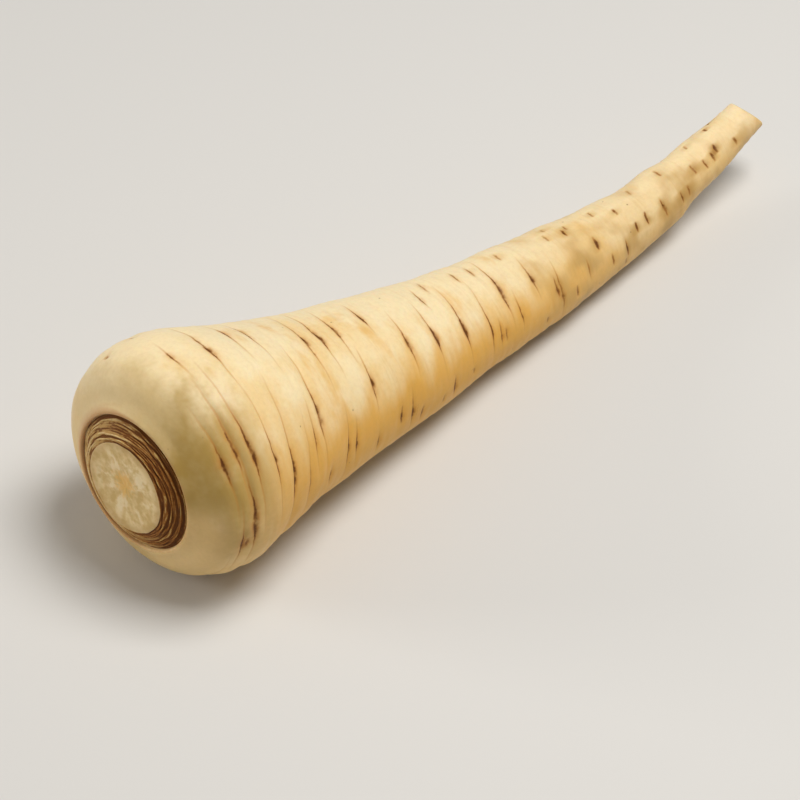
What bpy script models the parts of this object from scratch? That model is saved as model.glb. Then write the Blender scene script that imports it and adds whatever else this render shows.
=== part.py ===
"""A parsnip: one thick, tapering taproot, trimmed at its crown and at its tip.

Metres, +Z up. The crown faces -Y and the tip points to +Y. The root lies on z = 0 on the
underside of its shoulder and of its tail, with its thin end curling up off the surface.
A station is a distance along the root from the crown's rim; a bearing is an angle around it,
0 at the +X side and a quarter turn at the top.
"""
import math

import bmesh
import bpy
from mathutils import Matrix, Vector

MM = 0.001

# Driving dimensions, in millimetres.
LENGTH = 235.4              # from the crown's rim to the cut tip, along the root
SHOULDER_RADIUS = 32.1      # the widest place
CROWN_RIM_RADIUS = 19.4     # where the skin ends and the leaf bases begin
CROWN_FACE_RADIUS = 12.4    # the pale cut face of the crown
CROWN_FACE_RISE = 2.6       # how far that face stands out past the rim
CROWN_FACE_DISH = 0.5       # how far its middle is sunk
RIM_GROOVE_DEPTH = 1.1      # the groove between the skin and the outermost leaf base
LEAF_BASE_RIDGES = 4        # rings of leaf base between the groove and the face
LEAF_BASE_HEIGHT = 0.45     # each ring, from valley to crest
TIP_SLANT = 2.6             # how far the oblique cut runs ahead and behind of square
TIP_SLANT_BEARING = -92.0   # degrees; the side on which the tip is longest
TIP_EDGE_RADIUS = 0.7

SIDES = 46                  # flats around the root
BODY_RINGS = 50             # rings of flats from the shoulder to the tip
RIDGE_STEPS = 4             # points across each leaf-base ridge

# The skin's outline: station, radius.
OUTLINE = (
    (0.0, CROWN_RIM_RADIUS), (1.8, 22.1), (3.6, 25.5), (5.8, 28.4), (11.0, 31.2),
    (19.0, SHOULDER_RADIUS), (30.0, 29.6), (42.0, 26.7), (57.0, 23.5), (73.0, 21.1),
    (91.0, 18.7), (111.0, 15.9), (132.0, 14.0), (152.0, 12.4), (172.0, 10.2), (190.0, 8.8),
    (198.5, 8.4), (203.5, 7.6), (214.0, 6.9), (LENGTH, 5.4),
)
# The line through the middle of the root: station, sideways (+X), height above the surface.
SPINE = (
    (0.0, 0.6, 33.9), (10.0, 0.1, 32.9), (22.0, -0.6, 31.3), (40.0, -0.6, 27.8),
    (63.0, -0.2, 23.2), (87.0, 0.2, 19.4), (113.0, 0.3, 16.2), (140.0, 0.4, 13.7),
    (164.0, 0.4, 12.2), (188.0, 0.3, 12.5), (211.0, -0.1, 15.8), (LENGTH, -0.6, 22.4),
)
# Swellings that make the root less than round: lobes around it, turns along it, size, phase.
SWELLINGS = (
    (2, 0.0, 0.020, 0.0),
    (3, 1.7, 0.007, 0.7),
    (1, 3.4, 0.006, 3.0),
    (5, 2.3, 0.004, 3.5),
)


def smooth_line(knots, column):
    """Read a table as a smooth line: a cubic through its knots."""
    at = [row[0] for row in knots]
    value = [row[column] for row in knots]
    chords = [(value[i + 1] - value[i]) / (at[i + 1] - at[i]) for i in range(len(at) - 1)]
    slopes = [chords[0]]
    for i in range(1, len(chords)):
        before = at[i] - at[i - 1]
        after = at[i + 1] - at[i]
        slopes.append((chords[i - 1] * after + chords[i] * before) / (before + after))
    slopes.append(chords[-1])

    def read(station):
        i = 0
        while i < len(at) - 2 and station > at[i + 1]:
            i += 1
        span = at[i + 1] - at[i]
        t = (station - at[i]) / span
        start = (1 + 2 * t) * (1 - t) ** 2 * value[i] + t * (1 - t) ** 2 * span * slopes[i]
        end = t * t * (3 - 2 * t) * value[i + 1] + t * t * (t - 1) * span * slopes[i + 1]
        return start + end

    return read


skin_radius = smooth_line(OUTLINE, 1)
spine_side = smooth_line(SPINE, 1)
spine_height = smooth_line(SPINE, 2)


def crown_profile():
    """The crown from its middle out to the groove, as (station, radius)."""
    points = [(-CROWN_FACE_RISE + CROWN_FACE_DISH, 0.0)]
    for share in (0.3, 0.6, 0.85, 1.0):
        sunk = CROWN_FACE_DISH * (1 - share ** 2)
        points.append((-CROWN_FACE_RISE + sunk, CROWN_FACE_RADIUS * share))
    steps = LEAF_BASE_RIDGES * RIDGE_STEPS
    width = CROWN_RIM_RADIUS - 0.7 - CROWN_FACE_RADIUS
    for step in range(1, steps + 1):
        share = step / steps
        fall = (CROWN_FACE_RISE + RIM_GROOVE_DEPTH) * share ** 1.3
        ridge = LEAF_BASE_HEIGHT / 2 * (1 - math.cos(2 * math.pi * LEAF_BASE_RIDGES * share))
        points.append((-CROWN_FACE_RISE + fall - ridge, CROWN_FACE_RADIUS + width * share))
    return points


def skin_profile():
    """The skin from the crown's rim to the end of the tip's flank, as (station, radius)."""
    flank_end = LENGTH - TIP_EDGE_RADIUS
    shoulder = [0.0, 0.9, 2.0, 3.4, 5.0, 7.0, 9.4, 12.2, 15.6]
    step = (flank_end - 19.6) / BODY_RINGS
    stations = shoulder + [19.6 + step * i for i in range(BODY_RINGS + 1)]
    return [(station, skin_radius(station)) for station in stations]


def tip_profile():
    """The rounded edge of the cut tip and its flat face, as (station, radius)."""
    flat_radius = skin_radius(LENGTH) - TIP_EDGE_RADIUS
    points = []
    for degrees in (35.0, 65.0, 90.0):
        turn = math.radians(degrees)
        station = LENGTH - TIP_EDGE_RADIUS * (1 - math.sin(turn))
        points.append((station, flat_radius + TIP_EDGE_RADIUS * math.cos(turn)))
    points.append((LENGTH, flat_radius * 0.5))
    points.append((LENGTH, 0.0))
    return points


def swelling(station, bearing):
    """How much thicker or thinner than round the root is here, as a share of its radius."""
    along = station / LENGTH * 2 * math.pi
    total = 0.0
    for lobes, turns, size, phase in SWELLINGS:
        total += size * math.cos(lobes * bearing + turns * along + phase)
    fade = min(1.0, max(0.0, station / 12.0))
    return total * fade


def spine_frame(station):
    """A point of the root's middle line and the directions along, beside and above it."""
    near = min(max(station, 0.0), LENGTH)
    step = 0.5
    low = max(near - step, 0.0)
    high = min(near + step, LENGTH)
    run = high - low
    along = Vector((
        (spine_side(high) - spine_side(low)) / run,
        1.0,
        (spine_height(high) - spine_height(low)) / run,
    )).normalized()
    centre = Vector((spine_side(near), near, spine_height(near))) + along * (station - near)
    beside = along.cross(Vector((0.0, 0.0, 1.0))).normalized()
    above = beside.cross(along)
    return centre, along, beside, above


def bend_onto_spine(point):
    """Carry a point of the straight, round root to its place on the bent, swollen one."""
    radius = math.hypot(point.x, point.z)
    bearing = math.atan2(point.z, point.x)
    station = point.y
    ahead = math.cos(bearing - math.radians(TIP_SLANT_BEARING)) * radius / skin_radius(LENGTH)
    near_tip = max(0.0, (station - (LENGTH - 12.0)) / 12.0)
    place = station + TIP_SLANT * ahead * near_tip ** 2
    radius *= 1 + swelling(station, bearing)
    centre, along, beside, above = spine_frame(place)
    return centre + beside * (radius * math.cos(bearing)) + above * (radius * math.sin(bearing))


def turned_root():
    """Spin the outline into a straight root about the Y axis, then bend it."""
    outline = crown_profile() + skin_profile() + tip_profile()
    mesh = bmesh.new()
    points = [mesh.verts.new((radius, station, 0.0)) for station, radius in outline]
    edges = [mesh.edges.new(pair) for pair in zip(points, points[1:])]
    bmesh.ops.spin(
        mesh, geom=points + edges, cent=(0.0, 0.0, 0.0), axis=(0.0, 1.0, 0.0),
        angle=2 * math.pi, steps=SIDES, use_merge=True, use_duplicate=False,
    )
    bmesh.ops.remove_doubles(mesh, verts=mesh.verts[:], dist=0.001)
    for vert in mesh.verts:
        vert.co = bend_onto_spine(vert.co)
    bmesh.ops.recalc_face_normals(mesh, faces=mesh.faces[:])
    return mesh


def set_down(mesh):
    """Scale to metres, centre the root's box over the origin and lay it on z = 0."""
    bmesh.ops.scale(mesh, vec=(MM, MM, MM), verts=mesh.verts[:])
    low = [min(vert.co[axis] for vert in mesh.verts) for axis in range(3)]
    high = [max(vert.co[axis] for vert in mesh.verts) for axis in range(3)]
    middle = Vector((-(low[0] + high[0]) / 2, -(low[1] + high[1]) / 2, -low[2]))
    bmesh.ops.transform(mesh, matrix=Matrix.Translation(middle), verts=mesh.verts[:])


def skin_material():
    """Cream, slightly waxy skin."""
    material = bpy.data.materials.new("parsnip_skin")
    material.use_nodes = True
    shader = material.node_tree.nodes["Principled BSDF"]
    shader.inputs["Base Color"].default_value = (0.80, 0.62, 0.36, 1.0)
    shader.inputs["Roughness"].default_value = 0.45
    shader.inputs["Metallic"].default_value = 0.0
    return material


def parsnip_root():
    """The whole root as one object."""
    mesh = turned_root()
    set_down(mesh)
    data = bpy.data.meshes.new("parsnip_root")
    mesh.to_mesh(data)
    mesh.free()
    data.shade_smooth()
    data.materials.append(skin_material())
    root = bpy.data.objects.new("parsnip_root", data)
    bpy.context.scene.collection.objects.link(root)
    return root


def main():
    for old in list(bpy.data.objects):
        bpy.data.objects.remove(old, do_unlink=True)
    parsnip_root()


main()
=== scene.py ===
"""The looks of a parsnip: the fine skin of its root, and a stage for it to lie on.

Metres and +Z up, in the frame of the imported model; the root is shaped in millimetres first.
A station is a distance along the root from the crown's rim. A bearing is an angle around it,
0 at the +X side and a quarter turn at the top. A ring is a station on the root's own growth
rings, which lean towards the tip on its far side.
"""
import math
import random

import bmesh
import bpy
import numpy as np
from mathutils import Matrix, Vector


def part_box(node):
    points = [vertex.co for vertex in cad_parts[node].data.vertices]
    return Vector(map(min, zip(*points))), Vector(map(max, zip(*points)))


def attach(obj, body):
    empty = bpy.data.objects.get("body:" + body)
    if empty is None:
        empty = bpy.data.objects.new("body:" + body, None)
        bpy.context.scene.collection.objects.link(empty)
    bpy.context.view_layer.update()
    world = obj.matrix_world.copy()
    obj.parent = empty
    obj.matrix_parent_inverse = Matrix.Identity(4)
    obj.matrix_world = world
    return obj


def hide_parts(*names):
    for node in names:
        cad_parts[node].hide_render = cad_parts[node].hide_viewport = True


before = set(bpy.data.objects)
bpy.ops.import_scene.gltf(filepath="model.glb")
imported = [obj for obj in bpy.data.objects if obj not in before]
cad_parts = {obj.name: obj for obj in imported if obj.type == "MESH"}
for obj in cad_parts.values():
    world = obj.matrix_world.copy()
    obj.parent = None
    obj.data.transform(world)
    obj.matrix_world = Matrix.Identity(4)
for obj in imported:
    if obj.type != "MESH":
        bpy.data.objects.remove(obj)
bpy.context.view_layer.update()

bl_info = {
    "name": "Parsnip",
    "version": (1, 0, 0),
    "blender": (4, 5, 0),
    "location": "3D View > Sidebar > Parsnip",
    "description": "Makes a parsnip root with its scars, crown and cut tip, and a stage for it",
    "category": "Object",
}

NODE = "parsnip_root"
PIECE = "parsnip_whole"
SLOT = "parsnip_skin"
BODY = "root"
MM = 0.001

# The root's outline and bend, in millimetres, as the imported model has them.
LENGTH = 235.4
SHOULDER_RADIUS = 32.1
CROWN_RIM_RADIUS = 19.4
CROWN_FACE_RADIUS = 12.4
CROWN_FACE_RISE = 2.6
CROWN_FACE_DISH = 0.5
RIM_GROOVE_DEPTH = 1.1
RIM_GROOVE_RADIUS = 18.7
TIP_SLANT = 2.6
TIP_SLANT_BEARING = -92.0
TIP_EDGE_RADIUS = 0.7
# The skin's outline: station, radius.
OUTLINE = (
    (0.0, CROWN_RIM_RADIUS), (1.8, 22.1), (3.6, 25.5), (5.8, 28.4), (11.0, 31.2),
    (19.0, SHOULDER_RADIUS), (30.0, 29.6), (42.0, 26.7), (57.0, 23.5), (73.0, 21.1),
    (91.0, 18.7), (111.0, 15.9), (132.0, 14.0), (152.0, 12.4), (172.0, 10.2), (190.0, 8.8),
    (198.5, 8.4), (203.5, 7.6), (214.0, 6.9), (LENGTH, 5.4),
)
# The line through the middle of the root: station, sideways (+X), height above the surface.
SPINE = (
    (0.0, 0.6, 33.9), (10.0, 0.1, 32.9), (22.0, -0.6, 31.3), (40.0, -0.6, 27.8),
    (63.0, -0.2, 23.2), (87.0, 0.2, 19.4), (113.0, 0.3, 16.2), (140.0, 0.4, 13.7),
    (164.0, 0.4, 12.2), (188.0, 0.3, 12.5), (211.0, -0.1, 15.8), (LENGTH, -0.6, 22.4),
)
# Swellings that make the root less than round: lobes around it, turns along it, size, phase.
SWELLINGS = (
    (2, 0.0, 0.020, 0.0),
    (3, 1.7, 0.007, 0.7),
    (1, 3.4, 0.006, 3.0),
    (5, 2.3, 0.004, 3.5),
)
BOX_TOLERANCE = 1.2 * MM    # how far the fine root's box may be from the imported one's

# How finely the skin is turned: lengths between rings of points, in millimetres.
FACE_STEP = 0.36
BAND_STEP = 0.118
SKIN_STEP = 0.385

# The growth rings.
RING_BEARING = 30.0         # where a ring is at its own station, in degrees
RING_LEAN = 4.0             # how far a ring of the shoulder leans, a quarter turn from there

# The scars that mark this root: ring, bearing where each starts and where it ends, darkness.
SCARS = (
    (5, 135, 130, 0.50), (13, 130, 125, 0.45), (9.5, -10, -15, 0.70), (7, 50, 20, 0.80),
    (8, 0, -25, 0.80), (10.5, 60, 25, 0.75), (11, 30, -20, 0.90), (11.5, 100, 85, 0.55),
    (14, 60, 15, 0.85), (20, 105, 75, 0.80), (20.5, 45, 10, 0.75), (27.5, 40, -5, 0.85),
    (29, 110, 85, 0.55), (34.5, 25, -15, 0.30), (35, 110, 80, 0.65), (38, 35, 15, 0.70),
    (41.5, 60, 20, 0.90), (44, 0, -10, 0.50), (50.5, 105, 60, 0.75), (52, 20, -10, 0.75),
    (55.5, 15, -5, 0.65), (56, 110, 65, 0.85), (62.5, 105, 65, 0.75), (64.5, 55, 25, 0.95),
    (64.5, 0, -15, 0.50), (73.5, 105, 75, 0.70), (74, 10, -5, 0.85), (78.5, 15, -15, 0.85),
    (82, 75, 35, 0.85), (82.5, 0, -15, 0.50), (92, 75, 30, 0.90), (91.5, -5, -15, 0.35),
    (96, 5, -15, 0.75), (96.5, 100, 75, 0.60), (101, 110, 90, 0.45), (103.5, 80, 20, 0.90),
    (104, 0, -5, 0.40), (112, 105, 85, 0.50), (113, 70, 0, 0.55), (116.5, 30, 5, 0.55),
    (118, 105, 85, 0.45), (118.5, 20, 5, 0.50), (122, 100, 30, 0.95), (125.5, 45, 10, 0.55),
    (129.5, 105, 90, 0.50), (134, 75, 35, 0.90), (136, 0, -10, 0.40), (141.5, 40, 15, 0.85),
    (143, 50, -5, 0.90), (148, 100, 85, 0.50), (149, 15, 0, 0.75), (150, 115, 105, 0.40),
    (154.5, 95, 80, 0.80), (155.5, 40, 10, 0.40), (156.5, 100, 90, 0.50), (161.5, 60, 40, 0.95),
    (165.5, 25, 5, 0.50), (168, 105, 90, 0.60), (171.5, 0, -15, 0.35), (172.5, 30, 0, 0.75),
    (175, 85, 70, 0.75), (178.5, 45, 25, 0.75), (183.5, 50, 25, 0.80), (184.5, 110, 90, 0.35),
    (191, 50, 15, 0.90), (197, 110, 85, 0.60), (198.5, 35, 10, 0.75), (202, 35, 10, 0.60),
    (207, 65, 40, 0.80), (211, 120, 105, 0.55), (211.5, 55, 30, 0.60), (215, 55, 30, 0.85),
    (217.5, 65, 40, 0.95), (220, 125, 105, 0.70), (224, 40, 15, 0.55),
)
# The rest of the root has scars of the same kind: ring, longest scar there, in millimetres.
SCAR_LENGTHS = ((0.0, 26.0), (60.0, 20.0), (110.0, 17.0), (140.0, 9.0), (175.0, 4.5), (LENGTH, 3.0))
WILD_SIDE = (128.0, 334.0)  # the bearings between which they lie
WILD_ROW = 2                # the most that start at about one ring
WILD_ROW_GAPS = (3.2, 6.0)
WILD_CLEARANCE = 2.2        # the least between two of them that overlap around the root
WILD_SEED = 11
SCAR_LAYERS = 8             # scars that lie closer than LAYER_GAP go in different layers
LAYER_GAP = 4.0
LINE_REACH = 2.0            # how far from its line a scar's own drawing reaches
NO_SCAR = 3.0               # the distance that stands for no scar near
SHORTEST_HALF = 1.1         # half the length of the shortest scar
CREASE_SPREAD = 1.7         # a scar's faint crease is this much longer than the scar
SHOULDER_SPREAD = 0.7       # and longer still by the shoulder

# A scar's relief where the root is thickest, in millimetres.
VALLEY_DEPTH = 0.56         # the dip along its crease
SHOULDER_VALLEY = 0.28      # and deeper still by the shoulder
VALLEY_WIDTH = 1.6
SLIT_DEPTH = 0.20
SLIT_WIDTH = 0.36
LIP_HEIGHT = 0.12
LIP_WIDTH = 0.5
LIP_PLACE = 1.0             # from the slit

FINE_FOLD_HEIGHT = 0.03
BARK_HEIGHT = 0.46          # of the crown's rings, from groove to crest
BARK_SINK = 0.34            # how far their grooves lie under the plain slope
FACE_EDGE_DEPTH = 0.08      # the nick around the cut face
RIPPLE_PEAK = 1.6           # a ripple's full height, in standard deviations of its waves

# The texture map: sizes and places in millimetres of root, from its lower left corner.
MAP_SIDE = 256.0
MAP_MIDDLE = 104.0          # the line along the top of the root
MAP_FOOT = 2.0              # the crown's rim
MAP_SHOULDER = 0.55         # extra length for the face of the shoulder, for each millimetre across
MAP_SHOULDER_REACH = 11.8
CROWN_ON_MAP = (214.0, 214.0)
CROWN_MAP_SCALE = 1.75
TIP_ON_MAP = (240.0, 20.0)
TIP_MAP_SCALE = 1.5

# The stage: the point the camera looks at, in sides of the root's box from the middle of its
# underside, and where the lights hang, in metres.
AIM = (0.081, -0.1187, 0.108)
KEY_PLACE = (0.27, 0.20, 1.0)
FILL_PLACE = (-0.72, -0.70, 0.30)

# Colours of the finer markings, as linear red, green, blue and alpha.
COLOURS = {
    "rim skin": (0.58, 0.405, 0.150, 1.0),
    "thin end": (0.72, 0.46, 0.155, 1.0),
    "mottle": (0.53, 0.325, 0.105, 1.0),
    "grain": (0.45, 0.28, 0.10, 1.0),
    "speck": (0.22, 0.12, 0.04, 1.0),
    "dull halo": (0.46, 0.255, 0.065, 1.0),
    "burnt halo": (0.36, 0.155, 0.030, 1.0),
    "flesh": (0.82, 0.68, 0.41, 1.0),
    "flesh core": (0.76, 0.56, 0.26, 1.0),
    "flesh ring": (0.60, 0.40, 0.15, 1.0),
    "flesh edge": (0.70, 0.49, 0.21, 1.0),
    "face": (0.81, 0.62, 0.32, 1.0),
    "face shade": (0.61, 0.42, 0.155, 1.0),
    "ray": (0.90, 0.75, 0.50, 1.0),
    "heart": (0.80, 0.45, 0.09, 1.0),
    "face edge": (0.46, 0.28, 0.10, 1.0),
    "dry wood": (0.58, 0.385, 0.140, 1.0),
    "wood": (0.31, 0.120, 0.020, 1.0),
    "dry ridge": (0.76, 0.58, 0.32, 1.0),
    "ridge": (0.58, 0.385, 0.130, 1.0),
    "dry groove": (0.22, 0.090, 0.024, 1.0),
    "groove": (0.145, 0.045, 0.005, 1.0),
    "outer ring and shade": (0.135, 0.043, 0.005, 1.0),
    "tick": (0.10, 0.036, 0.008, 1.0),
    "bleed": (0.54, 0.25, 0.09, 1.0),
}


# ---------------------------------------------------------------- the root's shape


def smooth_line(knots, column=1):
    """Read a table as a smooth line, for whole arrays: a cubic through its knots."""
    at = np.array([row[0] for row in knots])
    value = np.array([row[column] for row in knots])
    spans = np.diff(at)
    chords = np.diff(value) / spans
    inner = (chords[:-1] * spans[1:] + chords[1:] * spans[:-1]) / (spans[:-1] + spans[1:])
    slopes = np.concatenate((chords[:1], inner, chords[-1:]))

    def read(station):
        i = np.clip(np.searchsorted(at, station) - 1, 0, len(spans) - 1)
        t = (station - at[i]) / spans[i]
        start = (1 + 2 * t) * (1 - t) ** 2 * value[i] + t * (1 - t) ** 2 * spans[i] * slopes[i]
        end = t * t * (3 - 2 * t) * value[i + 1] + t * t * (t - 1) * spans[i] * slopes[i + 1]
        return start + end

    return read


skin_radius = smooth_line(OUTLINE)
spine_side = smooth_line(SPINE, 1)
spine_height = smooth_line(SPINE, 2)
longest_scar = smooth_line(SCAR_LENGTHS)


def ease(value, low, high):
    """0 below low, 1 above high, and smooth between them."""
    t = np.clip((value - low) / (high - low), 0.0, 1.0)
    return t * t * (3 - 2 * t)


def ease_down(value, low, high):
    """1 below low, 0 above high, and smooth between them."""
    return 1 - ease(value, low, high)


def nearest_turn(angle):
    """The same angle between minus and plus half a turn."""
    return (angle + math.pi) % (2 * math.pi) - math.pi


def evenly(points, step):
    """Points at even distances along a line through many close points."""
    line = np.array(points, float)
    lengths = np.concatenate(([0.0], np.cumsum(np.linalg.norm(np.diff(line, axis=0), axis=1))))
    count = max(2, round(lengths[-1] / step) + 1)
    at = np.linspace(0.0, lengths[-1], count)
    return np.stack([np.interp(at, lengths, line[:, axis]) for axis in (0, 1)], axis=1)


def crown_face_line():
    """The pale cut face of the crown, from its middle out, as (station, radius)."""
    share = np.linspace(0.0, 1.0, 60)
    sunk = CROWN_FACE_DISH * (1 - share ** 2)
    return np.stack((sunk - CROWN_FACE_RISE, share * CROWN_FACE_RADIUS), axis=1)


def leaf_base_line():
    """The slope of old leaf bases, from the cut face down to the groove inside the rim."""
    share = np.linspace(0.0, 1.0, 200)
    fall = (CROWN_FACE_RISE + RIM_GROOVE_DEPTH) * share ** 1.3
    width = RIM_GROOVE_RADIUS - CROWN_FACE_RADIUS
    return np.stack((fall - CROWN_FACE_RISE, CROWN_FACE_RADIUS + width * share), axis=1)


def rim_line():
    """The rounded lip of the skin over the groove."""
    share = np.linspace(0.0, 1.0, 24)[:, None]
    groove = np.array((RIM_GROOVE_DEPTH, RIM_GROOVE_RADIUS))
    lip = np.array((-0.15, RIM_GROOVE_RADIUS + 0.15))
    start = np.array((0.35, skin_radius(0.35)))
    return groove * (1 - share) ** 2 + lip * 2 * share * (1 - share) + start * share ** 2


def skin_line():
    """The skin, from the crown's rim to the end of the tip's flank."""
    stations = np.linspace(0.35, LENGTH - TIP_EDGE_RADIUS, 4000)
    return np.stack((stations, skin_radius(stations)), axis=1)


def tip_line():
    """The rounded edge of the cut tip and its flat face."""
    flat_radius = float(skin_radius(LENGTH)) - TIP_EDGE_RADIUS
    turn = np.linspace(0.0, math.pi / 2, 24)
    edge = np.stack((
        LENGTH - TIP_EDGE_RADIUS * (1 - np.sin(turn)),
        flat_radius + TIP_EDGE_RADIUS * np.cos(turn),
    ), axis=1)
    return np.vstack((edge, ((LENGTH, 0.0),)))


def outline():
    """The whole outline, from the middle of the crown to the middle of the cut tip."""
    stretches = (
        evenly(crown_face_line(), FACE_STEP),
        evenly(leaf_base_line(), BAND_STEP),
        evenly(rim_line(), 2 * BAND_STEP),
        evenly(skin_line(), SKIN_STEP),
        evenly(tip_line(), FACE_STEP),
    )
    joined = [stretches[0]] + [stretch[1:] for stretch in stretches[1:]]
    return np.vstack(joined)


def swelling(station, bearing):
    """How much thicker or thinner than round the root is, as a share of its radius."""
    along = station / LENGTH * 2 * math.pi
    total = np.zeros_like(station)
    for lobes, turns, size, phase in SWELLINGS:
        total += size * np.cos(lobes * bearing + turns * along + phase)
    return total * np.clip(station / 12.0, 0.0, 1.0)


def spine_frame(station):
    """Points of the root's middle line and the directions along, beside and above it."""
    near = np.clip(station, 0.0, LENGTH)
    low = np.clip(near - 0.5, 0.0, None)
    high = np.clip(near + 0.5, None, LENGTH)
    run = high - low
    along = np.stack((
        (spine_side(high) - spine_side(low)) / run,
        np.ones_like(near),
        (spine_height(high) - spine_height(low)) / run,
    ), axis=1)
    along /= np.linalg.norm(along, axis=1, keepdims=True)
    centre = np.stack((spine_side(near), near, spine_height(near)), axis=1)
    centre += along * (station - near)[:, None]
    beside = np.cross(along, (0.0, 0.0, 1.0))
    beside /= np.linalg.norm(beside, axis=1, keepdims=True)
    return centre, along, beside, np.cross(beside, along)


def bend_onto_spine(station, radius, bearing):
    """Carry points of the straight, round root to their places on the bent, swollen one."""
    ahead = np.cos(bearing - math.radians(TIP_SLANT_BEARING)) * radius / skin_radius(LENGTH)
    near_tip = np.clip((station - (LENGTH - 12.0)) / 12.0, 0.0, None)
    place = station + TIP_SLANT * ahead * near_tip ** 2
    swollen = radius * (1 + swelling(station, bearing))
    centre, _, beside, above = spine_frame(place)
    across = beside * (swollen * np.cos(bearing))[:, None]
    return centre + across + above * (swollen * np.sin(bearing))[:, None]


def turned_root(sides):
    """Spin the outline into a straight root about the Y axis, in millimetres."""
    mesh = bmesh.new()
    points = [mesh.verts.new((radius, station, 0.0)) for station, radius in outline()]
    edges = [mesh.edges.new(pair) for pair in zip(points, points[1:])]
    bmesh.ops.spin(
        mesh, geom=points + edges, cent=(0.0, 0.0, 0.0), axis=(0.0, 1.0, 0.0),
        angle=2 * math.pi, steps=sides, use_merge=True, use_duplicate=False,
    )
    bmesh.ops.remove_doubles(mesh, verts=mesh.verts[:], dist=0.001)
    bmesh.ops.recalc_face_normals(mesh, faces=mesh.faces[:])
    data = bpy.data.meshes.new(PIECE)
    mesh.to_mesh(data)
    mesh.free()
    return data


# ---------------------------------------------------------------- places on the root


def read_counts(items, name):
    """A whole number that each item of a mesh has, as an array."""
    found = np.empty(len(items), np.int32)
    items.foreach_get(name, found)
    return found


def read_vectors(items, name):
    """A property of all the items of a mesh, as rows of three numbers."""
    found = np.empty(len(items) * 3, np.float32)
    items.foreach_get(name, found)
    return found.reshape(-1, 3).astype(float)


class Places:
    """Where each point of the straight root is."""

    def __init__(self, data):
        straight = read_vectors(data.vertices, "co")
        self.station = straight[:, 1]
        self.radius = np.hypot(straight[:, 0], straight[:, 2])
        self.bearing = np.arctan2(straight[:, 2], straight[:, 0])
        self.crown = (self.station < RIM_GROOVE_DEPTH + 0.01) & (self.radius < RIM_GROOVE_RADIUS + 0.01)
        self.crown |= self.station < 0
        lean = RING_LEAN * skin_radius(np.clip(self.station, 0, LENGTH)) / SHOULDER_RADIUS
        tilt = 1 - np.cos(self.bearing - math.radians(RING_BEARING))
        self.ring = self.station - lean * tilt
        self.skin = ease(self.radius, CROWN_RIM_RADIUS, CROWN_RIM_RADIUS + 3.0)
        self.skin = np.where(self.station > 20.0, 1.0, self.skin)
        self.skin *= 1 - ease(self.station, LENGTH - 2.5, LENGTH - 0.2)


def ripples(across, bearing, wavelengths, lobes, count, seed):
    """An irregular wave over the root, about -1 to 1: a sum of waves that close around it."""
    dice = random.Random(seed)
    total = np.zeros_like(across)
    for _ in range(count):
        wavelength = math.exp(dice.uniform(math.log(wavelengths[0]), math.log(wavelengths[1])))
        around = dice.randint(-lobes, lobes)
        phase = dice.uniform(0, 2 * math.pi)
        total += np.cos(2 * math.pi * across / wavelength + around * bearing + phase)
    return total / math.sqrt(count / 2) / RIPPLE_PEAK


# ---------------------------------------------------------------- scars


class Scar:
    """A slit in the skin that runs part of the way around a growth ring."""

    def __init__(self, ring, start, end, darkness, dice):
        self.ring = ring
        self.middle = math.radians((start + end) / 2)
        self.radius = float(skin_radius(min(max(ring, 0.0), LENGTH)))
        self.half = max(SHORTEST_HALF, abs(math.radians(start - end)) / 2 * self.radius)
        self.darkness = darkness
        self.down = 1 if math.cos(self.middle) < 0 else -1
        self.peak = dice.uniform(0.10, 0.45)
        self.slope = dice.uniform(-0.02, 0.02)
        self.wave = dice.uniform(9.0, 16.0)
        self.wave_size = dice.uniform(0.05, 0.16)
        self.phase = dice.uniform(0, 2 * math.pi)
        self.small = float(ease_down(np.array(self.half), 1.5, 4.5))
        by_shoulder = float(ease_down(np.array(ring), 30.0, 80.0))
        self.spread = CREASE_SPREAD + SHOULDER_SPREAD * by_shoulder - 0.4 * self.small
        self.width = 1.0 + 0.8 * self.small
        self.layer = 0

    def near(self, other):
        """Whether another scar comes too close to be drawn in the same layer."""
        apart = abs(nearest_turn(self.middle - other.middle))
        reach = self.spread * self.half / self.radius + other.spread * other.half / other.radius
        return abs(self.ring - other.ring) < LAYER_GAP and apart < reach + 0.05

    def measure(self, places):
        """For every place: its distance across the scar, the scar's darkness and its crease."""
        run = nearest_turn(places.bearing - self.middle) * self.radius * self.down
        wander = self.slope * run + self.wave_size * np.sin(run / self.wave * 2 * math.pi + self.phase)
        across = places.ring - self.ring - wander
        share = run / self.half
        skewed = np.where(share < self.peak, (share - self.peak) / (1 + self.peak),
                          (share - self.peak) / (1 - self.peak))
        line = np.clip(1 - np.abs(skewed) ** 1.6, 0, None)
        long_dark = 0.45 * line + 0.55 * line ** 3
        short_dark = 0.70 * np.sqrt(np.clip(1 - share ** 2, 0, None))
        dark = self.darkness * (long_dark * (1 - self.small) + short_dark * self.small)
        crease = (0.35 + 0.65 * self.darkness) * np.clip(1 - (share / self.spread) ** 2, 0, None)
        near = ease_down(np.abs(across), 6.0, 9.0) * places.skin
        return across, dark * near, crease * near


def wild_scars(dice):
    """Scars for the side of the root that the named ones leave bare."""
    found = []
    ring = 5.0
    while ring < LENGTH - 6:
        for _ in range(WILD_ROW):
            length = dice.uniform(0.4, 1.0) * float(longest_scar(ring))
            half = math.degrees(length / 2 / float(skin_radius(ring)))
            first = WILD_SIDE[0] + half
            middle = dice.uniform(first, max(WILD_SIDE[1] - half, first + 1))
            darkness = dice.uniform(0.3, 0.95)
            place = ring + dice.uniform(-1.5, 1.5)
            scar = Scar(place, middle + half, middle - half, darkness, dice)
            if not any(other.near(scar) and abs(other.ring - place) < WILD_CLEARANCE for other in found):
                found.append(scar)
        ring += dice.uniform(*WILD_ROW_GAPS)
    return found


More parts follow.
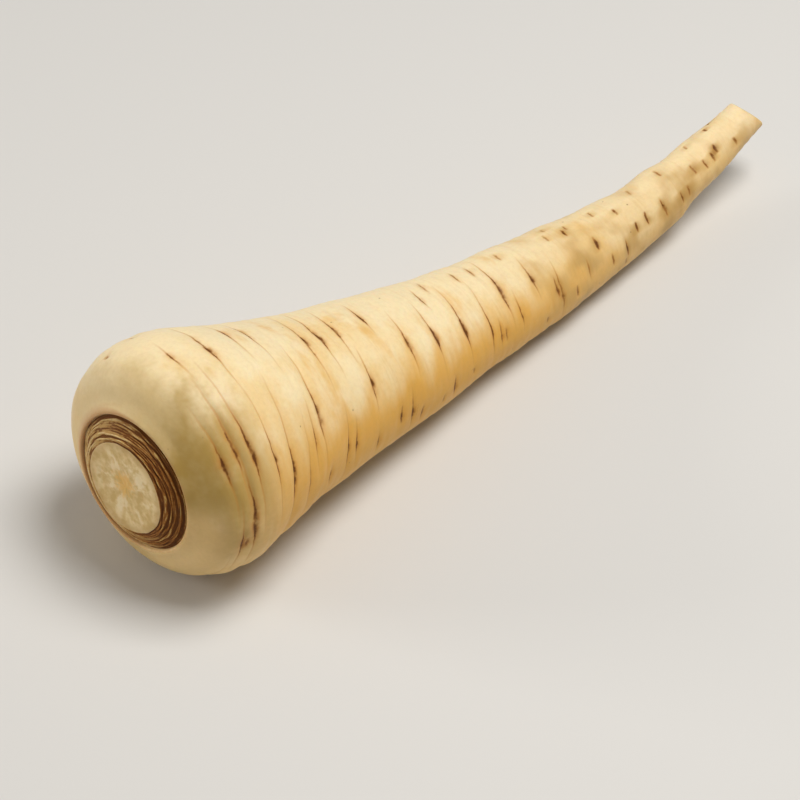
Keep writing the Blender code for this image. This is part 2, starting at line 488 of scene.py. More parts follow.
def all_scars():
    """Every scar, each in a layer where no neighbour comes near it."""
    dice = random.Random(WILD_SEED)
    scars = [Scar(*row, dice) for row in SCARS] + wild_scars(dice)
    for index, scar in enumerate(scars):
        taken = {other.layer for other in scars[:index] if other.near(scar)}
        free = [layer for layer in range(SCAR_LAYERS) if layer not in taken]
        if not free:
            raise RuntimeError(f"the scar at ring {scar.ring:g} has no free layer")
        scar.layer = free[0]
    return scars


class ScarField:
    """What all the scars together do at each place of the skin."""

    def __init__(self, places, scars):
        count = len(places.station)
        self.layers = [np.tile((NO_SCAR, 0.0, 0.0), (count, 1)) for _ in range(SCAR_LAYERS)]
        self.halo = np.zeros(count)
        self.stain = np.zeros(count)
        self.height = np.zeros(count)
        for scar in scars:
            across, dark, crease = scar.measure(places)
            away = np.abs(across)
            small = 0.45 + 0.55 * scar.radius / SHOULDER_RADIUS
            depth = VALLEY_DEPTH + SHOULDER_VALLEY * ease_down(scar.ring, 30.0, 75.0)
            valley = depth * crease * np.exp(-(away / (VALLEY_WIDTH * small)) ** 1.2)
            slit = SLIT_DEPTH * dark * np.exp(-(away / SLIT_WIDTH) ** 2)
            lip = LIP_HEIGHT * dark * np.exp(-((away - LIP_PLACE) / LIP_WIDTH) ** 2)
            self.height += (lip - valley - slit) * small
            self.halo += dark * np.exp(-(away / ((0.70 + 0.50 * dark) * scar.width)) ** 2)
            self.stain += crease * np.exp(-(away / 3.0) ** 2)
            window = ease_down(away, 1.4, LINE_REACH)
            layer = self.layers[scar.layer]
            closer = (away / scar.width < np.abs(layer[:, 0])) & (crease > 0)
            layer[closer, 0] = across[closer] / scar.width
            layer[closer, 1] = (dark * window)[closer]
            layer[closer, 2] = (crease * window)[closer]


# ---------------------------------------------------------------- the crown


class Crown:
    """The rings of old leaf bases between the cut face and the skin."""

    def __init__(self, places):
        radius, bearing = places.radius, places.bearing
        warp = 0.35 * ripples(radius, bearing, (6.0, 15.0), lobes=3, count=10, seed=21)
        fray = 0.16 * ripples(radius, bearing, (1.5, 4.0), lobes=22, count=40, seed=22)
        self.share = (radius - CROWN_FACE_RADIUS) / (RIM_GROOVE_RADIUS - CROWN_FACE_RADIUS)
        within = ease(self.share, -0.05, 0.12) * places.crown
        edge = self.share + (0.8 * warp + fray) * 0.06
        self.band = ease(edge, 0.0, 0.05) * places.crown
        wandering = radius + (warp + fray) * within
        folds = ripples(wandering, bearing, (0.85, 1.9), lobes=3, count=30, seed=25)
        fibres = ripples(radius + warp, bearing, (0.38, 0.75), lobes=10, count=44, seed=26)
        self.ridge = np.clip(0.5 + 0.50 * folds + 0.24 * fibres, 0, 1)
        right = np.cos(bearing - math.radians(8.0))
        uneven = 0.3 * ripples(self.share * 6, bearing, (2.0, 6.0), lobes=4, count=12, seed=23)
        self.brown = 0.30 + 0.70 * ease(right + uneven, -0.75, 0.75)
        roll = 0.05 * ripples(radius, bearing, (2.0, 7.0), lobes=7, count=20, seed=24)
        face_edge = np.exp(-((edge + 0.02) / 0.05) ** 2) * places.crown
        bark = self.band * (BARK_HEIGHT * self.ridge - BARK_SINK)
        self.height = bark * ease_down(self.share, 0.93, 1.0)
        self.height += places.crown * (1 - self.band) * roll - FACE_EDGE_DEPTH * face_edge


# ---------------------------------------------------------------- relief and attributes


def skin_relief(places, settings):
    """How far the skin stands out from the plain turned root, apart from its scars."""
    thick = skin_radius(np.clip(places.station, 0, LENGTH)) / SHOULDER_RADIUS
    lumps = ripples(places.station, places.bearing, (18.0, 55.0), lobes=4, count=16, seed=31)
    rings = ripples(places.ring, places.bearing, (4.0, 9.0), lobes=3, count=18, seed=32)
    small = ripples(places.ring, places.bearing, (2.2, 5.0), lobes=9, count=24, seed=33)
    knots = ripples(places.station, places.bearing, (8.0, 22.0), lobes=4, count=20, seed=34)
    knots *= 0.25 * ease(places.station, 100.0, 170.0)
    soft = settings.lump_height * ((0.4 + 0.6 * thick) * lumps + knots)
    folds = settings.ring_height * (0.5 + 0.5 * thick) * rings * ease(places.station, 4.0, 22.0)
    return (soft / MM + folds / MM + FINE_FOLD_HEIGHT * small) * places.skin


def add_vectors(data, name, *parts):
    """Store three numbers for each point of a mesh, for its material to read."""
    made = data.attributes.new(name, "FLOAT_VECTOR", "POINT")
    made.data.foreach_set("vector", np.stack(parts, axis=1).astype(np.float32).ravel())


def store_places(data, places, crown, field):
    """Store what the material needs to know about each point."""
    from_rim = np.clip(places.station, 0, None) + np.clip(places.radius - CROWN_RIM_RADIUS, 0, None)
    reach = np.where(places.crown, places.radius, CROWN_RIM_RADIUS + from_rim)
    across, up = np.cos(places.bearing), np.sin(places.bearing)
    # How low around the root each point lies; the material paints the low side tan there as shade.
    low_side = np.clip(0.5 - 0.5 * np.sin(places.bearing - math.radians(2.0)), 0, 1)
    tip_face = ease(places.station, LENGTH - 0.35, LENGTH - 0.05)
    add_vectors(data, "around", across, up, places.radius / CROWN_FACE_RADIUS)
    add_vectors(data, "crown", reach, crown.ridge, crown.brown)
    add_vectors(data, "face", places.radius * across, places.radius * up, crown.band)
    add_vectors(data, "zones", places.station, low_side, tip_face)
    add_vectors(data, "marks", np.clip(field.halo, 0, 1), crown.share, 1 - np.exp(-field.stain))
    for index, layer in enumerate(field.layers):
        add_vectors(data, f"scars_{index}", *layer.T)


def lay_map(data, places):
    """Unroll the skin into a map: a tapering strip, with the crown and the tip beside it."""
    corners = read_counts(data.loops, "vertex_index")
    starts = read_counts(data.polygons, "loop_start")
    totals = read_counts(data.polygons, "loop_total")
    face = np.repeat(np.arange(len(totals)), totals)
    station = places.station[corners]
    radius = places.radius[corners]
    bearing = places.bearing[corners]

    def face_mean(values):
        return (np.add.reduceat(values, starts) / totals)[face]

    middle_bearing = np.arctan2(face_mean(np.sin(bearing) * radius), face_mean(np.cos(bearing) * radius))
    seam = -math.pi / 2
    turned = (middle_bearing - seam) % (2 * math.pi)
    angle = turned + nearest_turn(bearing - middle_bearing) - math.pi
    middle_station = face_mean(station)
    middle_radius = face_mean(radius)
    on_crown = (middle_radius < CROWN_RIM_RADIUS + 0.1) & (middle_station < 5.0)
    on_tip = middle_station > LENGTH - TIP_EDGE_RADIUS * 0.6
    u = MAP_MIDDLE + angle * radius
    v = MAP_FOOT + station + MAP_SHOULDER * np.clip(radius - CROWN_RIM_RADIUS, 0, MAP_SHOULDER_REACH)
    for within, (middle_u, middle_v), scale in (
        (on_crown, CROWN_ON_MAP, CROWN_MAP_SCALE),
        (on_tip, TIP_ON_MAP, TIP_MAP_SCALE),
    ):
        u = np.where(within, middle_u + radius * np.cos(bearing) * scale, u)
        v = np.where(within, middle_v + radius * np.sin(bearing) * scale, v)
    layer = data.uv_layers.new(name="OFBake")
    layer.uv.foreach_set("vector", (np.stack((u, v), axis=1) / MAP_SIDE).astype(np.float32).ravel())


def set_down(points):
    """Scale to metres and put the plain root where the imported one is."""
    low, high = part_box(NODE)
    points = points * MM
    found_low, found_high = points.min(axis=0), points.max(axis=0)
    shift = (np.array(low) + np.array(high) - found_low - found_high) / 2
    shift[2] = low[2] - found_low[2]
    off = np.abs(found_high - found_low - (np.array(high) - np.array(low))).max()
    if off > BOX_TOLERANCE:
        raise RuntimeError(f"the fine root's box is {off / MM:.2f} mm off the packed one's")
    return points + shift


# ---------------------------------------------------------------- materials


def fill(node, values):
    """Set a node's inputs by their names."""
    for name, value in values.items():
        node.inputs[name].default_value = value


class Recipe:
    """A material's nodes, joined as they are added."""

    def __init__(self, name):
        self.material = bpy.data.materials.new(name)
        self.material.use_nodes = True
        self.tree = self.material.node_tree
        self.shader = self.tree.nodes["Principled BSDF"]

    def feed(self, socket, value):
        if isinstance(value, bpy.types.NodeSocket):
            self.tree.links.new(value, socket)
        elif value is not None:
            socket.default_value = value

    def add(self, kind, *values, **settings):
        node = self.tree.nodes.new(kind)
        for name, value in settings.items():
            setattr(node, name, value)
        for socket, value in zip(node.inputs, values):
            self.feed(socket, value)
        return node

    def maths(self, operation, *values):
        return self.add("ShaderNodeMath", *values, operation=operation).outputs[0]

    def chain(self, operation, values):
        total = values[0]
        for value in values[1:]:
            total = self.maths(operation, total, value)
        return total

    def times(self, *values):
        return self.chain("MULTIPLY", values)

    def plus(self, *values):
        return self.chain("ADD", values)

    def rise(self, value, low, high, start=0.0, end=1.0):
        """start at low and before it, end at high and past it, and smooth between."""
        return self.add(
            "ShaderNodeMapRange", value, low, high, start, end, interpolation_type="SMOOTHSTEP"
        ).outputs[0]

    def mix(self, share, first, second):
        node = self.add("ShaderNodeMix", data_type="RGBA")
        self.feed(node.inputs[0], share)
        self.feed(node.inputs[6], first)
        self.feed(node.inputs[7], second)
        return node.outputs[2]

    def noise(self, place, scale, detail=2.0, roughness=0.5, stretch=None):
        if stretch:
            place = self.add("ShaderNodeMapping", place, None, None, stretch).outputs[0]
        node = self.add("ShaderNodeTexNoise", place)
        fill(node, {"Scale": scale, "Detail": detail, "Roughness": roughness})
        return node.outputs[0]

    def sway(self, place, scale, detail=2.0, roughness=0.5, stretch=None):
        """Noise that goes to either side of 0, by half at the most."""
        return self.plus(self.noise(place, scale, detail, roughness, stretch), -0.5)

    def vector(self, name):
        """The three numbers that a mesh stores under a name, as one vector."""
        return self.add("ShaderNodeAttribute", attribute_name=name).outputs["Vector"]

    def attribute(self, name):
        """The same three numbers, each on its own."""
        return self.add("ShaderNodeSeparateXYZ", self.vector(name)).outputs[:]


class Skin:
    """The places and noises that the layers of the skin's colour share."""

    def __init__(self, recipe, place):
        self.place = place
        self.station, self.low_side, _ = recipe.attribute("zones")
        self.right, self.top, _ = recipe.attribute("around")
        _, _, self.stain = recipe.attribute("marks")
        # How far the skin faces up and a little towards -X, the side the light comes from; the skin is
        # painted paler there as painted light.
        self.painted_light_side = recipe.plus(recipe.times(self.right, -0.34), recipe.times(self.top, 0.94))
        self.broad = recipe.sway(place, 34.0, 2.0)
        self.blotch = recipe.sway(place, 105.0, 3.0, 0.6)
        self.streak = recipe.sway(place, 62.0, 3.0, 0.55, stretch=(0.65, 2.3, 0.65))


def cream_skin(recipe, skin, settings):
    """Cream, with butter in patches and near scars, and kept creamier towards the top as painted light, where
    the light falls.
    """
    butter = recipe.plus(
        recipe.times(skin.broad, 1.1), recipe.times(skin.blotch, 0.9), recipe.times(skin.stain, 0.35),
        recipe.times(skin.painted_light_side, -0.30), 0.17,
    )
    return recipe.mix(recipe.rise(butter, -0.06, 0.40), settings.cream, settings.butter)


def tan_stains_and_low_shade(recipe, skin, colour, settings):
    """Tan in stains, and tan on the low side as painted shade of the side turned from the light, more on the
    +X side and less on the very underside; both weaker by the shoulder and at the thin end.
    """
    past_shoulder = recipe.rise(skin.station, 8.0, 32.0, 0.35, 1.0)
    strength = recipe.times(past_shoulder, recipe.rise(skin.station, 205.0, 120.0, 0.4))
    low = recipe.plus(
        skin.low_side, recipe.times(skin.broad, 0.5), recipe.times(skin.streak, 0.45),
        recipe.times(skin.stain, 0.12),
    )
    right_side = recipe.rise(skin.right, -0.4, 0.4, 0.48, 1.0)
    off_ground = recipe.rise(skin.low_side, 0.92, 0.62, 0.50, 1.0)
    # Painted shade: the low side, turned from the light, is tinted tan, most on the +X side.
    painted_low_shade = recipe.times(recipe.rise(low, 0.15, 0.48), strength, right_side, off_ground)
    colour = recipe.mix(painted_low_shade, colour, settings.tan)
    stains = recipe.times(recipe.rise(skin.streak, 0.02, 0.20), recipe.rise(skin.blotch, -0.10, 0.14))
    return recipe.mix(recipe.times(stains, strength, 0.50), colour, settings.tan)


def collar_skin(recipe, skin, colour, settings):
    """Duller skin at the crown's rim, and an olive collar to its right, partly the skin's own olive and
    partly painted shade where the shoulder turns from the light, both clear of its low edge.
    """
    clear_rim = recipe.times(recipe.rise(skin.station, 9.0, 2.5), recipe.rise(skin.right, 0.0, 0.4))
    clear_rim = recipe.plus(1.0, recipe.times(clear_rim, recipe.rise(skin.top, 0.42, -0.05), -0.85))
    from_rim = recipe.plus(skin.station, recipe.times(skin.blotch, 14.0))
    by_rim = recipe.rise(from_rim, 11.0, 2.0, 0.0, 0.70)
    by_rim = recipe.times(by_rim, recipe.rise(skin.right, -0.9, 0.0, 0.65, 1.0), clear_rim)
    colour = recipe.mix(by_rim, colour, COLOURS["rim skin"])
    # The collar is partly olive skin and partly painted shade, strongest where the shoulder faces this way.
    facing = recipe.plus(
        recipe.times(skin.right, 0.91), recipe.times(skin.top, 0.42), recipe.times(skin.blotch, 1.1))
    collar_shade = recipe.times(recipe.rise(skin.station, 24.0, 7.0), recipe.rise(facing, 0.45, 1.10, 0.05, 0.90))
    return recipe.mix(recipe.times(collar_shade, clear_rim), colour, settings.olive_and_shade)


def thin_end_skin(recipe, skin, colour):
    """Browner, mottled skin towards the tip, but less so on top, where it is painted paler as painted light.
    """
    thin_end = recipe.times(
        recipe.rise(skin.station, 115.0, 160.0), recipe.rise(skin.station, 233.0, 216.0, 0.5, 1.0),
        recipe.rise(skin.painted_light_side, 1.0, 0.72, 0.35, 1.0),
    )
    colour = recipe.mix(recipe.times(thin_end, 0.40), colour, COLOURS["thin end"])
    near_marks = recipe.plus(recipe.times(skin.stain, 0.22), recipe.times(skin.streak, 0.5))
    patches = recipe.plus(recipe.noise(skin.place, 115.0, 1.5, 0.5), near_marks)
    mottle = recipe.times(thin_end, recipe.rise(patches, 0.44, 0.80, 0.0, 0.85))
    return recipe.mix(mottle, colour, COLOURS["mottle"])


def fine_marks(recipe, skin, colour, settings):
    """Hair-fine lines around the root, a grain, and a few dark specks."""
    hairs = recipe.sway(skin.place, 80.0, 3.0, 0.6, stretch=(0.35, 6.0, 0.35))
    hairs = recipe.times(recipe.rise(hairs, 0.03, 0.16), recipe.rise(skin.station, 20.0, 60.0), 0.09)
    colour = recipe.mix(hairs, colour, settings.crease)
    grain = recipe.rise(recipe.noise(skin.place, 900.0, 2.0, 0.6), 0.35, 0.75, 0.0, 0.10)
    colour = recipe.mix(grain, colour, COLOURS["grain"])
    cells = recipe.add("ShaderNodeTexVoronoi", skin.place)
    fill(cells, {"Scale": 330.0})
    pick = recipe.add("ShaderNodeSeparateColor", cells.outputs["Color"]).outputs[0]
    speck = recipe.times(recipe.rise(cells.outputs["Distance"], 0.13, 0.05), recipe.rise(pick, 0.90, 0.94))
    return recipe.mix(recipe.times(speck, 0.6), colour, COLOURS["speck"])


def skin_colour(recipe, place, settings):
    """The skin without its scars."""
    skin = Skin(recipe, place)
    colour = cream_skin(recipe, skin, settings)
    colour = tan_stains_and_low_shade(recipe, skin, colour, settings)
    colour = collar_skin(recipe, skin, colour, settings)
    colour = thin_end_skin(recipe, skin, colour)
    return fine_marks(recipe, skin, colour, settings)


def scar_colour(recipe, place, colour, settings):
    """The scars: an orange-brown halo, a faint crease, and a dark slit along the middle."""
    halo, _, _ = recipe.attribute("marks")
    ragged = recipe.sway(place, 420.0, 3.0, 0.65)
    patchy = recipe.noise(place, 330.0, 2.0, 0.5)
    broken = recipe.rise(patchy, 0.34, 0.58, 0.40, 0.85)
    stained = recipe.times(halo, recipe.rise(patchy, 0.30, 0.62, 0.25, 1.0))
    station, _, _ = recipe.attribute("zones")
    warm = recipe.mix(recipe.rise(station, 110.0, 170.0), settings.halo, COLOURS["dull halo"])
    colour = recipe.mix(recipe.times(stained, 0.9), colour, warm)
    burnt = recipe.times(recipe.rise(halo, 0.25, 0.85), recipe.rise(patchy, 0.36, 0.60, 0.10, 0.70))
    colour = recipe.mix(burnt, colour, COLOURS["burnt halo"])
    for index in range(SCAR_LAYERS):
        across, dark, crease = recipe.attribute(f"scars_{index}")
        jitter = recipe.times(ragged, recipe.plus(0.30, recipe.times(dark, 1.2)))
        away = recipe.maths("ABSOLUTE", recipe.plus(across, jitter))
        faint = recipe.times(recipe.rise(away, 0.42, 0.05), recipe.rise(crease, 0.0, 0.9), 0.55)
        colour = recipe.mix(faint, colour, settings.crease)
        thin = recipe.times(recipe.rise(away, 0.30, 0.04), recipe.rise(dark, 0.0, 0.40), broken)
        colour = recipe.mix(thin, colour, settings.slit)
        width = recipe.plus(0.04, recipe.times(dark, dark, 0.60))
        share = recipe.maths("DIVIDE", away, width)
        core = recipe.times(
            recipe.rise(share, 1.5, 0.3),
            recipe.rise(dark, 0.22, 0.62),
            recipe.rise(patchy, 0.36, 0.58, 0.25, 1.0),
        )
        colour = recipe.mix(core, colour, settings.scar)
    return colour


def tip_colour(recipe, place, colour):
    """The flesh at the cut tip: pale, with a yellower core inside a thin darker ring."""
    _, _, tip_face = recipe.attribute("zones")
    _, _, out = recipe.attribute("around")
    out = recipe.plus(out, recipe.times(recipe.sway(place, 900.0, 3.0, 0.6), 0.08))
    flesh = recipe.mix(recipe.rise(out, 0.25, 0.20), COLOURS["flesh"], COLOURS["flesh core"])
    ring = recipe.times(recipe.rise(out, 0.18, 0.215), recipe.rise(out, 0.26, 0.225), 0.6)
    flesh = recipe.mix(ring, flesh, COLOURS["flesh ring"])
    flesh = recipe.mix(recipe.rise(out, 0.33, 0.40, 0.0, 0.7), flesh, COLOURS["flesh edge"])
    return recipe.mix(tip_face, colour, flesh)


def face_colour(recipe, spot):
    """The crown's cut face: beige, with soft pale rays and a warm heart."""
    around = recipe.vector("around")
    reach, _, _ = recipe.attribute("crown")
    rays = recipe.sway(around, 2.1, 3.0, 0.6, stretch=(1.0, 1.0, 0.8))
    cloud = recipe.sway(spot, 0.30, 3.0, 0.6)
    flecks = recipe.sway(spot, 0.75, 3.0, 0.65)
    tone = recipe.plus(recipe.times(rays, 0.9), recipe.times(cloud, 1.1))
    colour = recipe.mix(recipe.rise(tone, -0.18, 0.24), COLOURS["face"], COLOURS["face shade"])
    wedge = recipe.plus(recipe.times(rays, 1.4), recipe.times(cloud, 0.5), recipe.times(flecks, 0.25))
    pale = recipe.times(recipe.rise(reach, 2.5, 5.0), recipe.rise(reach, 11.5, 8.0), 0.55)
    colour = recipe.mix(recipe.times(pale, recipe.rise(wedge, 0.02, -0.16)), colour, COLOURS["ray"])
    away = recipe.add("ShaderNodeVectorMath", spot, (-0.9, 0.7, 0.0), operation="DISTANCE").outputs["Value"]
    heart = recipe.plus(away, recipe.times(flecks, 10.0), recipe.times(rays, 8.0))
    colour = recipe.mix(recipe.rise(heart, 4.8, 0.8, 0.0, 0.70), colour, COLOURS["heart"])
    return recipe.mix(recipe.rise(reach, 9.8, 12.4, 0.0, 0.45), colour, COLOURS["face edge"])


def bark_colour(recipe, spot):
    """The leaf bases: fibrous brown rings, palest on their ridges and darkened in their grooves and at the
    rim, partly their own brown and partly painted shade in the grooves.
    """
    around = recipe.vector("around")
    _, ridge, brown = recipe.attribute("crown")
    _, share, _ = recipe.attribute("marks")
    threads = recipe.sway(around, 3.4, 4.0, 0.7, stretch=(1.0, 1.0, 7.0))
    flecks = recipe.sway(spot, 1.1, 3.0, 0.7)
    lit = recipe.plus(
        ridge, recipe.times(threads, 1.5), recipe.times(flecks, 0.6), recipe.times(brown, -0.16))
    wood = recipe.mix(brown, COLOURS["dry wood"], COLOURS["wood"])
    pale = recipe.mix(brown, COLOURS["dry ridge"], COLOURS["ridge"])
    dark = recipe.mix(brown, COLOURS["dry groove"], COLOURS["groove"])
    # Painted shade: the grooves between the rings take the darkest browns.
    colour = recipe.mix(recipe.rise(lit, 0.24, 0.54), dark, wood)
    colour = recipe.mix(recipe.rise(lit, 0.68, 0.95, 0.0, 0.9), colour, pale)
    # The outer ring: the rim's own dark brown, deepened as painted shade of the groove under the rim.
    rim = recipe.plus(share, recipe.times(flecks, 0.35), recipe.times(brown, 0.10))
    outer_ring_and_shade = recipe.times(recipe.rise(rim, 0.84, 0.97), recipe.rise(lit, 0.95, 0.45, 0.35, 0.92))
    colour = recipe.mix(outer_ring_and_shade, colour, COLOURS["outer ring and shade"])
    ticks = recipe.times(recipe.rise(flecks, 0.10, 0.22), 0.5)
    return recipe.mix(ticks, colour, COLOURS["tick"])


def crown_colour(recipe, colour):
    """The crown: the cut face inside its rings of leaf base, and a stain on the skin around."""
    spot = recipe.vector("face")
    flat = recipe.add("ShaderNodeVectorMath", spot, (1.0, 1.0, 0.0), operation="MULTIPLY").outputs["Vector"]
    _, _, band = recipe.attribute("face")
    reach, _, brown = recipe.attribute("crown")
    crown = recipe.mix(recipe.rise(band, 0.25, 0.75), face_colour(recipe, flat), bark_colour(recipe, flat))
    edge = recipe.plus(reach, recipe.times(recipe.sway(flat, 0.9, 3.0, 0.65), 1.6))
    far = recipe.rise(brown, 0.72, 0.37, 20.2, 23.4)
    bleed = recipe.times(recipe.add("ShaderNodeMapRange", edge, far, 18.9, 0.0, 1.0).outputs[0], 0.72)
    colour = recipe.mix(bleed, colour, COLOURS["bleed"])
    return recipe.mix(recipe.rise(edge, 19.5, 18.75), colour, crown)


def root_material(settings):
    """The finish of the whole root."""
    recipe = Recipe(SLOT)
    place = recipe.add("ShaderNodeTexCoord").outputs["Object"]
    colour = skin_colour(recipe, place, settings)
    colour = scar_colour(recipe, place, colour, settings)
    colour = tip_colour(recipe, place, colour)
    colour = crown_colour(recipe, colour)
    recipe.feed(recipe.shader.inputs["Base Color"], colour)
    _, _, band = recipe.attribute("face")
    halo, _, _ = recipe.attribute("marks")
    rough = recipe.noise(place, 150.0, 3.0, 0.6)
    gloss = recipe.rise(rough, 0.3, 0.7, settings.gloss_low, settings.gloss_high)
    gloss = recipe.plus(gloss, recipe.times(band, 0.35), recipe.times(halo, 0.15))
    recipe.feed(recipe.shader.inputs["Roughness"], gloss)
    pores = recipe.noise(place, 1500.0, 2.0, 0.6)
    waves = recipe.noise(place, 320.0, 2.0, 0.5, stretch=(0.5, 2.0, 0.5))
    bumps = recipe.plus(recipe.times(pores, 0.35), waves)
    bump = recipe.add("ShaderNodeBump")
    fill(bump, {"Strength": 0.35, "Distance": 0.00022})
    recipe.feed(bump.inputs["Height"], bumps)
    recipe.feed(recipe.shader.inputs["Normal"], bump.outputs[0])
    fill(recipe.shader, {
        "Subsurface Weight": 0.18, "Subsurface Radius": (1.0, 0.5, 0.2),
        "Subsurface Scale": 0.004, "Specular IOR Level": 0.24,
    })
    return recipe.material


def plain_material(name, colour, roughness):
    """A plain matt finish for the stage."""
    recipe = Recipe(name)
    fill(recipe.shader, {"Base Color": colour, "Roughness": roughness})
    return recipe.material


# ---------------------------------------------------------------- settings and operators


def colour_property(name, description, default):
    return bpy.props.FloatVectorProperty(
        name=name, description=description, default=default, subtype="COLOR", size=4, min=0.0, max=1.0)


class ParsnipRootSettings(bpy.types.PropertyGroup):
    sides: bpy.props.IntProperty(
        name="Sides", description="Points around the root", default=128, min=24, max=160)
    lump_height: bpy.props.FloatProperty(
        name="Lumps", description="Height of the broad lumps of the skin",
        default=0.30 * MM, min=0.0, max=2 * MM, unit="LENGTH", precision=5)
    ring_height: bpy.props.FloatProperty(
        name="Ring folds", description="Height of the soft folds that run around the root",
        default=0.045 * MM, min=0.0, max=1 * MM, unit="LENGTH", precision=5)
    gloss_low: bpy.props.FloatProperty(
        name="Glossiest", description="Roughness where the skin is waxiest",
        default=0.38, min=0.0, max=1.0, subtype="FACTOR")
    gloss_high: bpy.props.FloatProperty(
        name="Dullest", description="Roughness where the skin is driest",
        default=0.55, min=0.0, max=1.0, subtype="FACTOR")
    cream: colour_property("Cream", "The palest skin", (0.90, 0.755, 0.475, 1.0))
    butter: colour_property("Butter", "The yellower patches of skin", (0.86, 0.645, 0.325, 1.0))
    # The tan of the stains, and of the low side, where it is painted shade.
    tan: colour_property("Tan", "The low side and the stains", (0.765, 0.42, 0.084, 1.0))
    # The collar's olive, which also stands in as painted shade behind the crown.
    olive_and_shade: colour_property("Olive", "The collar behind the crown", (0.42, 0.267, 0.058, 1.0))
    crease: colour_property("Crease", "The thin line that leads to each scar", (0.56, 0.27, 0.055, 1.0))
    halo: colour_property("Halo", "The stain around each scar", (0.60, 0.245, 0.035, 1.0))
    slit: colour_property("Slit", "The line of a scar", (0.32, 0.12, 0.018, 1.0))
    scar: colour_property("Scar", "The darkest part of a scar", (0.14, 0.045, 0.006, 1.0))


class ParsnipStageSettings(bpy.types.PropertyGroup):
    floor_colour: colour_property("Floor", "The floor's colour", (0.68, 0.68, 0.675, 1.0))
    floor_size: bpy.props.FloatProperty(
        name="Floor size", description="Length of the floor's side", default=12.0, min=1.0, unit="LENGTH")
    key_power: bpy.props.FloatProperty(
        name="Key light", description="Power of the large light above", default=9.8, min=0.0, unit="POWER")
    fill_power: bpy.props.FloatProperty(
        name="Fill light", description="Power of the small low light", default=3.7, min=0.0, unit="POWER")
    sky: bpy.props.FloatProperty(
        name="Sky", description="Strength of the even light from all around", default=0.22, min=0.0)
    azimuth: bpy.props.FloatProperty(
        name="Azimuth", description="Direction that the camera looks in; 0 is along +Y",
        default=math.radians(45.7), subtype="ANGLE", unit="ROTATION")
    elevation: bpy.props.FloatProperty(
        name="Elevation", description="Height of the camera above the horizon",
        default=math.radians(43.0), subtype="ANGLE", unit="ROTATION")
    distance: bpy.props.FloatProperty(
        name="Distance", description="From the camera to the point it looks at", default=0.806, unit="LENGTH")
    lens: bpy.props.FloatProperty(
        name="Lens", description="Focal length on a 36 mm sensor", default=135.0, min=10.0, unit="CAMERA")


def add_object(name, data):
    """A new object in the scene."""
    made = bpy.data.objects.new(name, data)
    bpy.context.scene.collection.objects.link(made)
    return made


class OBJECT_OT_parsnip_root(bpy.types.Operator):
    """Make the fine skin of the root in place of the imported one"""
    bl_idname = "object.parsnip_root"
    bl_label = "Parsnip root"

    def execute(self, context):
        settings = context.scene.parsnip_root
        data = turned_root(settings.sides)
        places = Places(data)
        scars = ScarField(places, all_scars())
        crown = Crown(places)
        store_places(data, places, crown, scars)
        lay_map(data, places)
        plain = set_down(bend_onto_spine(places.station, places.radius, places.bearing))
        data.vertices.foreach_set("co", plain.astype(np.float32).ravel())
        data.update()
        height = skin_relief(places, settings) + scars.height + crown.height
        normals = read_vectors(data.vertex_normals, "vector")
        shaped = plain + normals * height[:, None] * MM
        shaped[:, 2] = np.maximum(shaped[:, 2], 0.0)
        data.vertices.foreach_set("co", shaped.astype(np.float32).ravel())
        data.shade_smooth()
        data.materials.append(root_material(settings))
        root = add_object(PIECE, data)
        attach(root, BODY)
        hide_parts(NODE)
        return {"FINISHED"}


def look_at(thing, target):
    """Turn a light or a camera to a point."""
    thing.rotation_euler = (Vector(target) - thing.location).to_track_quat("-Z", "Y").to_euler()


def area_light(name, place, target, size, power, colour):
    """A soft square light."""
    data = bpy.data.lights.new(name, "AREA")
    data.size = size
    data.energy = power
    data.color = colour
    light = add_object(name, data)
    light.location = place
    look_at(light, target)


def make_floor(settings):
    """A plain pale floor under the root."""
    mesh = bmesh.new()
    bmesh.ops.create_grid(mesh, x_segments=1, y_segments=1, size=settings.floor_size / 2)
    data = bpy.data.meshes.new("floor")
    mesh.to_mesh(data)
    mesh.free()
    data.materials.append(plain_material("floor", settings.floor_colour, 0.85))
    floor = add_object("floor", data)


def make_lights(settings, middle):
    """A large light above, a low one off the crown's left side, and an even sky."""
    area_light("key", KEY_PLACE, middle, 0.5, settings.key_power, (1.0, 0.965, 0.91))
    area_light("fill", FILL_PLACE, middle, 0.4, settings.fill_power, (1.0, 0.94, 0.86))
    world = bpy.data.worlds.new("sky")
    world.use_nodes = True
    sky = world.node_tree.nodes["Background"]
    fill(sky, {"Color": (1.0, 0.965, 0.915, 1.0), "Strength": settings.sky})
    bpy.context.scene.world = world
    bpy.context.scene.view_settings.view_transform = "Standard"


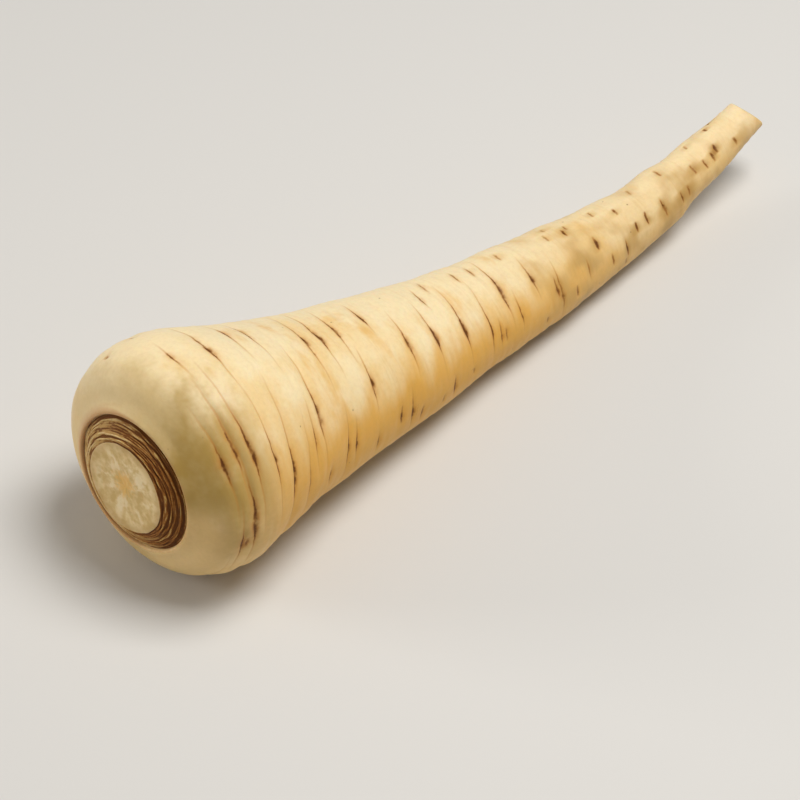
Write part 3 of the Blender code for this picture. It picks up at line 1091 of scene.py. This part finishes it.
def make_camera(settings, aim):
    """A long lens that looks down at the crown and along the root."""
    back = Vector((
        math.sin(settings.azimuth) * math.cos(settings.elevation),
        -math.cos(settings.azimuth) * math.cos(settings.elevation),
        math.sin(settings.elevation),
    ))
    lens = bpy.data.cameras.new("camera")
    lens.lens = settings.lens
    lens.sensor_width = 36.0
    lens.clip_start = 0.01
    camera = add_object("camera", lens)
    camera.location = aim + back * settings.distance
    look_at(camera, aim)
    bpy.context.scene.camera = camera


class OBJECT_OT_parsnip_stage(bpy.types.Operator):
    """Make the floor, the lights and the camera"""
    bl_idname = "object.parsnip_stage"
    bl_label = "Stage"

    def execute(self, context):
        settings = context.scene.parsnip_stage
        low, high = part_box(NODE)
        middle = (low + high) / 2
        sides = high - low
        aim = middle + Vector([share * side for share, side in zip(AIM, sides)])
        aim.z = low.z + AIM[2] * sides.z
        make_floor(settings)
        make_lights(settings, middle)
        make_camera(settings, aim)
        return {"FINISHED"}


class VIEW3D_PT_parsnip(bpy.types.Panel):
    """The parsnip's pieces and their settings"""
    bl_label = "Parsnip"
    bl_space_type = "VIEW_3D"
    bl_region_type = "UI"
    bl_category = "Parsnip"

    def draw(self, context):
        for group, operator in (
            (context.scene.parsnip_root, OBJECT_OT_parsnip_root),
            (context.scene.parsnip_stage, OBJECT_OT_parsnip_stage),
        ):
            box = self.layout.box()
            box.operator(operator.bl_idname)
            for name in group.__annotations__:
                box.prop(group, name)


CLASSES = (
    ParsnipRootSettings, ParsnipStageSettings,
    OBJECT_OT_parsnip_root, OBJECT_OT_parsnip_stage, VIEW3D_PT_parsnip,
)


def register():
    for cls in CLASSES:
        bpy.utils.register_class(cls)
    bpy.types.Scene.parsnip_root = bpy.props.PointerProperty(type=ParsnipRootSettings)
    bpy.types.Scene.parsnip_stage = bpy.props.PointerProperty(type=ParsnipStageSettings)


def unregister():
    del bpy.types.Scene.parsnip_stage
    del bpy.types.Scene.parsnip_root
    for cls in reversed(CLASSES):
        bpy.utils.unregister_class(cls)


def main():
    register()
    bpy.ops.object.parsnip_root()
    bpy.ops.object.parsnip_stage()


if __name__ == "__main__":
    main()
